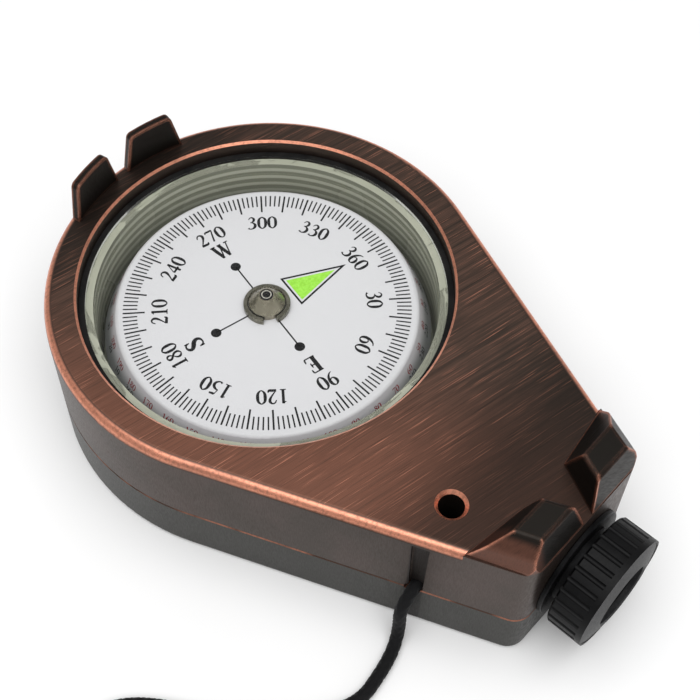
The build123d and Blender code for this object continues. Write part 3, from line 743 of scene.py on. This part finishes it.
def printRose(look):
    rose = Print("dialPoints")
    radius, middle, sides = look["dotRadius"], look["dotPlace"], look["dotSides"]
    half, inner = look["lineWide"] / 2, look["lineInner"]
    for degree, letter in ((90, "E"), (180, "S"), (270, "W")):
        high = onFace(degree, look["letterRadius"], look["letterHeight"])
        rose.word(letter, look["letterAdvance"][letter], high, look["letterWeight"])
        spot = onFace(degree, 0, 1.0)
        turns = (2 * math.pi * k / sides for k in range(sides))
        rose.polygon([spot(radius * math.cos(a), middle + radius * math.sin(a)) for a in turns])
        rose.polygon([spot(-half, inner), spot(half, inner), spot(half, middle), spot(-half, middle)])
    return rose


def insetCorners(corners, amount):
    moved = []
    for i, corner in enumerate(corners):
        a = (corners[i - 1] - corner).normalized()
        b = (corners[(i + 1) % len(corners)] - corner).normalized()
        moved.append(corner + (a + b).normalized() * amount / math.sin(a.angle(b) / 2))
    return moved


def printArrow(look):
    arrow, outline = Print("northArrow"), Print("northOutline")
    spot = onFace(0, 0, mm)
    corners = [Vector((-left, along)) for along, left in look["arrow"]]
    line = look["arrowLine"] / mm
    inner, green = insetCorners(corners, line), insetCorners(corners, line * look["arrowFill"])
    for i in range(3):
        n = (i + 1) % 3
        outline.polygon([spot(*p) for p in (corners[i], corners[n], inner[n], inner[i])])
    arrow.polygon([spot(*p) for p in green])
    return arrow, outline


def printSkirt(look):
    red, black = Print("skirtRed"), Print("skirtBlack")
    height, advance, weight = look["skirtHeight"], look["skirtAdvance"], look["skirtWeight"]
    for degree in range(10, 361, 10):
        back = (degree + 180) % 360 or 360
        red.word(str(degree), advance, onSkirt(degree, look["redShare"], height), weight)
        black.word(str(back), advance, onSkirt(degree, look["blackShare"], height), weight)
    return red, black


def printDial(look):
    prints = (printTicks(look), printNumbers(look), printRose(look), *printArrow(look), *printSkirt(look))
    return [p.make() for p in prints]


def inkFinish(name, dark, light):
    f = Finish(name)
    fade = f.noise(f.stretch((0.4 * mm,) * 3), detail=3)
    f.set(Base_Color=f.mix(f.span(fade, 0.35, 0.7), dark, light), Roughness=f.span(fade, 0.3, 0.7, 0.4, 0.6),
          Specular_IOR_Level=0.2)
    return f.material


# rings turned and filled with paint in the hub's crown
hubSet = {
    # inner and outer radius, height over the crown, all mm, and its tone
    "rings": [(0.30, 0.62, 0.04, "paint"), (0.62, 0.78, 0.08, "bright"), (0.78, 1.02, 0.04, "paint"),
              (0.0, 0.30, -0.02, "paint")],
    "turns": 64,
}


def makeHubRings(look):
    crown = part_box("jewel_cup")[1].z
    made = {"paint": Print("hubPaint"), "bright": Print("hubBright")}
    for inner, outer, height, tone in look["rings"]:
        z = crown + height * mm
        for k in range(look["turns"]):
            a, b = (2 * math.pi * (k + n) / look["turns"] for n in (0, 1))
            corners = [Vector((r * mm * math.cos(t), r * mm * math.sin(t), z))
                       for r, t in ((inner, a), (outer, a), (outer, b), (inner, b))]
            made[tone].polygon(corners)
    return [p.make() for p in made.values()]


hubPaint, hubBright = makeHubRings(hubSet)
for piece in printDial(dialSet):
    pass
blackInk = inkFinish("blackInk", (10, 10, 12), (24, 24, 27))
coat(blackInk, "dialTicks", "dialNumbers", "dialPoints", "northOutline", "skirtBlack", "hubPaint")
coat(inkFinish("brightRim", (168, 166, 156), (196, 194, 184)), "hubBright")
coat(inkFinish("greenInk", (146, 214, 62), (162, 230, 84)), "northArrow")
coat(inkFinish("redInk", (126, 22, 30), (160, 36, 44)), "skirtRed")
print("dial printed")


# floor, daylight and softboxes
stageSet = {
    "floor": (250, 250, 250),
    "floorLight": (254, 254, 254),
    "reach": 3.0,
    "sky": 0.5,
    "lights": [
        # name, place, aimed at, size, watts
        ("topBox", (-0.16, -0.12, 0.75), (0.0, 0.0, 0.0), 0.9, 5.6),
    ],
}


def makeStage(look):
    mesh = bpy.data.meshes.new("floor")
    far = look["reach"]
    mesh.from_pydata([(-far, -far, 0), (far, -far, 0), (far, far, 0), (-far, far, 0)], [], [(0, 1, 2, 3)])
    floor = bpy.data.objects.new("floor", mesh)
    scene.collection.objects.link(floor)
    f = Finish("paleFloor")
    fine = f.noise(f.stretch((0.05,) * 3), detail=2)
    f.set(Base_Color=f.mix(f.span(fine, 0.3, 0.7), look["floor"], look["floorLight"]), Roughness=0.6)
    mesh.materials.append(f.material)
    world = bpy.data.worlds.new("daylight")
    world.use_nodes = True
    sky = world.node_tree.nodes["Background"]
    sky.inputs["Color"].default_value = (1, 1, 1, 1)
    sky.inputs["Strength"].default_value = look["sky"]
    scene.world = world
    for name, place, aim, size, power in look["lights"]:
        data = bpy.data.lights.new(name, "AREA")
        data.size = size
        data.energy = power
        lamp = bpy.data.objects.new(name, data)
        lamp.location = place
        lamp.rotation_euler = (Vector(aim) - Vector(place)).to_track_quat("-Z", "Y").to_euler()
        scene.collection.objects.link(lamp)


makeStage(stageSet)
print("stage set")
